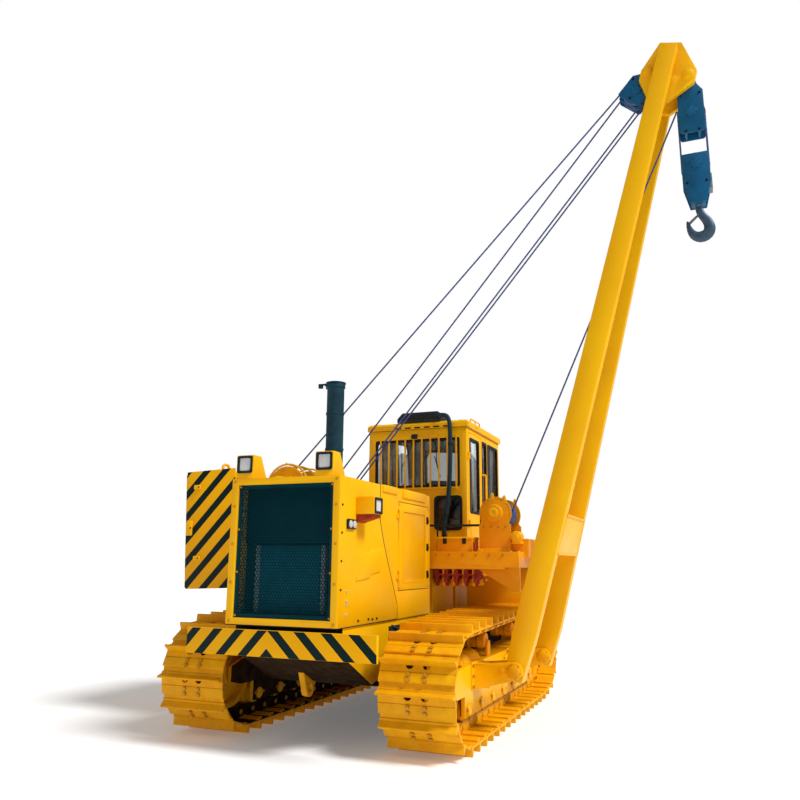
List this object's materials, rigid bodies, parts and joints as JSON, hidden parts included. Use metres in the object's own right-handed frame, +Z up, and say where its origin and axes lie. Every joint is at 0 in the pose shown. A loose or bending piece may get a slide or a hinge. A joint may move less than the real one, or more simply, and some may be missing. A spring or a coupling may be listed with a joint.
{
  "type": "crawler pipelayer with side boom",
  "caption": "Crawler pipelayer: tracked tractor with an A-frame side boom, rope tackle and hook, winches, closed cab and a swing-out counterweight.",
  "frame": {"origin": "on the ground, midway between the two tracks and at the middle of their length", "axes": "+X forward, +Y to the boom side (the machine's left), +Z up"},
  "size_m": [5.782, 5.8646, 7.5542],
  "materials": {
    "yellow": "satin",
    "track_paint": "satin",
    "black_metal": "satin",
    "block_blue": "satin",
    "bright_steel": "satin",
    "drum_steel": "satin",
    "cylinder_paint": "satin",
    "rope": "matte",
    "glass": "gloss",
    "lamp_glass": "gloss",
    "seat": "matte",
    "black_plastic": "matte"
  },
  "bodies": {
    "tractor": {"main_frame": "yellow", "final_drives": "yellow", "track_frame_left": "yellow", "track_frame_right": "yellow", "track_left": "track_paint", "track_right": "track_paint", "idlers": "track_paint", "sprockets": "track_paint", "track_rollers": "track_paint", "front_bumper": "yellow", "front_tow_eye": "track_paint", "drawbar": "track_paint", "radiator_guard": "yellow", "engine_hood": "yellow", "grille": "black_metal", "radiator": "black_metal", "engine_block": "black_metal", "lamp_housings": "yellow", "lamp_lenses": "lamp_glass", "exhaust_stack": "black_metal", "saddle_frame": "yellow", "tool_box": "yellow", "hook_winch_frame": "yellow", "winch_tower": "yellow", "luff_anchor": "block_blue", "cab_platform": "yellow", "fuel_tank": "yellow", "fenders": "yellow", "cab_shell": "yellow", "cab_roof": "yellow", "cab_glass": "glass", "window_guard": "yellow", "operator_seat": "seat", "operator_console": "black_plastic", "roof_unit": "black_plastic", "boom_lines": "rope", "winch_lines": "rope"},
    "engine_door": {"engine_door": "yellow"},
    "cab_door_left": {"cab_door_left": "yellow", "cab_door_left_glass": "glass"},
    "cab_door_right": {"cab_door_right": "yellow", "cab_door_right_glass": "glass"},
    "rain_cap": {"rain_cap": "black_metal"},
    "boom_drum": {"boom_drum": "drum_steel"},
    "hook_drum": {"hook_drum": "drum_steel"},
    "counterweight": {"counterweight": "yellow"},
    "cylinder_barrel": {"cylinder_barrel": "cylinder_paint"},
    "cylinder_rod": {"cylinder_rod": "bright_steel"},
    "boom": {"boom": "yellow", "luff_block": "block_blue"},
    "load_block": {"load_block": "block_blue", "hoist_falls": "rope"},
    "hook_block": {"hook_block": "block_blue"},
    "hook": {"lifting_hook": "bright_steel"}
  },
  "joints": [
    {"name": "engine_door_hinge", "type": "hinge", "parent": "tractor", "child": "engine_door", "pos_m": [1.367, 0.595, 1.865], "axis": [0, 0, -1], "range_deg": [0, 95]},
    {"name": "cab_door_left_hinge", "type": "hinge", "parent": "tractor", "child": "cab_door_left", "pos_m": [-0.753, 0.725, 2.66], "axis": [0, 0, -1], "range_deg": [0, 90]},
    {"name": "cab_door_right_hinge", "type": "hinge", "parent": "tractor", "child": "cab_door_right", "pos_m": [-0.753, -0.725, 2.66], "axis": [0, 0, 1], "range_deg": [0, 90]},
    {"name": "rain_cap_hinge", "type": "hinge", "parent": "tractor", "child": "rain_cap", "pos_m": [1.5, -0.265, 3.636], "axis": [1, 0, 0], "range_deg": [0, 70]},
    {"name": "boom_drum_turn", "type": "hinge", "parent": "tractor", "child": "boom_drum", "pos_m": [0.7, -1.04, 2.56], "axis": [1, 0, 0], "continuous": true},
    {"name": "hook_drum_turn", "type": "hinge", "parent": "tractor", "child": "hook_drum", "pos_m": [-0.16, 1.29, 2.27], "axis": [1, 0, 0], "continuous": true},
    {"name": "counterweight_swing", "type": "hinge", "parent": "tractor", "child": "counterweight", "pos_m": [0.775, -1.26, 1.38], "axis": [1, 0, 0], "range_deg": [0, 35]},
    {"name": "cylinder_tilt", "type": "hinge", "parent": "tractor", "child": "cylinder_barrel", "pos_m": [0.7, -0.815, 1.8], "axis": [1, 0, 0], "range_deg": [0, 35]},
    {"name": "cylinder_stroke", "type": "slide", "parent": "cylinder_barrel", "child": "cylinder_rod", "axis": [0, -0.9568, 0.2906], "range_m": [0, 0.45]},
    {"name": "boom_luff", "type": "hinge", "parent": "tractor", "child": "boom", "pos_m": [0.525, 1.78, 0.67], "axis": [-1, 0, 0], "range_deg": [-9, 55], "deforming": ["boom_lines", "winch_lines"]},
    {"name": "load_block_swing", "type": "hinge", "parent": "boom", "child": "load_block", "pos_m": [0.525, 3.77489, 7.07182], "axis": [1, 0, 0], "range_deg": [-9, 60]},
    {"name": "hook_hoist", "type": "slide", "parent": "load_block", "child": "hook_block", "axis": [0, 0, -1], "range_m": [-0.1, 4], "deforming": ["hoist_falls"]},
    {"name": "hook_swivel", "type": "hinge", "parent": "hook_block", "child": "hook", "pos_m": [0.525, 3.77489, 5.54], "axis": [0, 0, 1], "continuous": true}
  ],
  "couplings": [
    {"joint": "cylinder_tilt", "follows": "counterweight_swing", "ratio": 0.42799},
    {"joint": "cylinder_stroke", "follows": "counterweight_swing", "m_per_rad": 0.49463}
  ]
}
